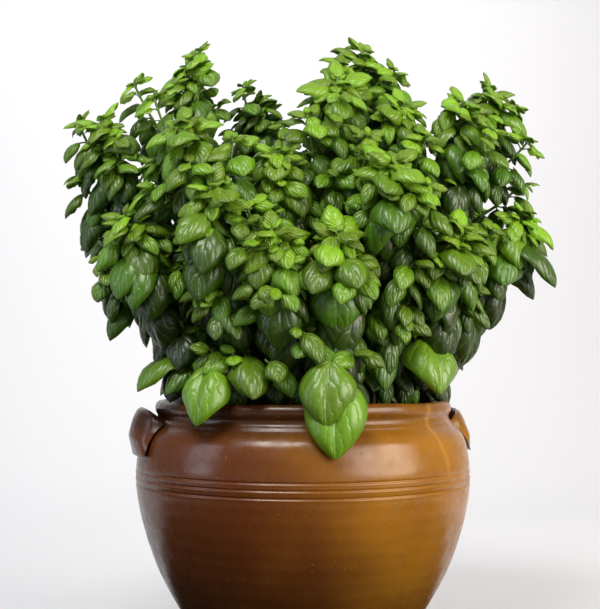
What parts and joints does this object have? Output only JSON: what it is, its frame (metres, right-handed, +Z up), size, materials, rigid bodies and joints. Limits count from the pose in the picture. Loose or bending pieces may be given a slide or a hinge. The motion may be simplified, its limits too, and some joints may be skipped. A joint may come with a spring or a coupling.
{
  "type": "potted basil plant",
  "caption": "Bushy basil plant with leafy square stems, rooted in the soil of a round-bellied glazed stoneware pot with two small ears and a flat foot.",
  "frame": {"origin": "centre of the pot's flat base, where it rests", "axes": "+Z up the axis of the pot, +X through the middle of one ear; the bush looks to -Y, turned 15 degrees to the left of it"},
  "size_m": [0.4917, 0.4655, 0.6527],
  "materials": {
    "glazed_stoneware": "gloss",
    "potting_soil": "matte",
    "basil_leaf": "satin"
  },
  "bodies": {
    "root": {"pot": "glazed_stoneware", "potting_soil": "potting_soil", "stem_left_outer": "basil_leaf", "stem_left_tall": "basil_leaf", "stem_left_front": "basil_leaf", "stem_left_low": "basil_leaf", "stem_front_left": "basil_leaf", "stem_front_middle": "basil_leaf", "stem_front_right": "basil_leaf", "stem_inner_front": "basil_leaf", "stem_tall_middle": "basil_leaf", "stem_tall_front": "basil_leaf", "stem_right_inner": "basil_leaf", "stem_right_front": "basil_leaf", "stem_right_low": "basil_leaf", "stem_right_middle": "basil_leaf", "stem_right_tall": "basil_leaf", "stem_right_outer": "basil_leaf", "stem_back_small": "basil_leaf", "stem_back_left": "basil_leaf", "stem_back_middle": "basil_leaf", "stem_back_right": "basil_leaf", "stem_left_back": "basil_leaf", "stem_back_low_left": "basil_leaf", "stem_back_low_middle": "basil_leaf", "stem_back_low_right": "basil_leaf", "stem_right_back": "basil_leaf"}
  },
  "joints": []
}
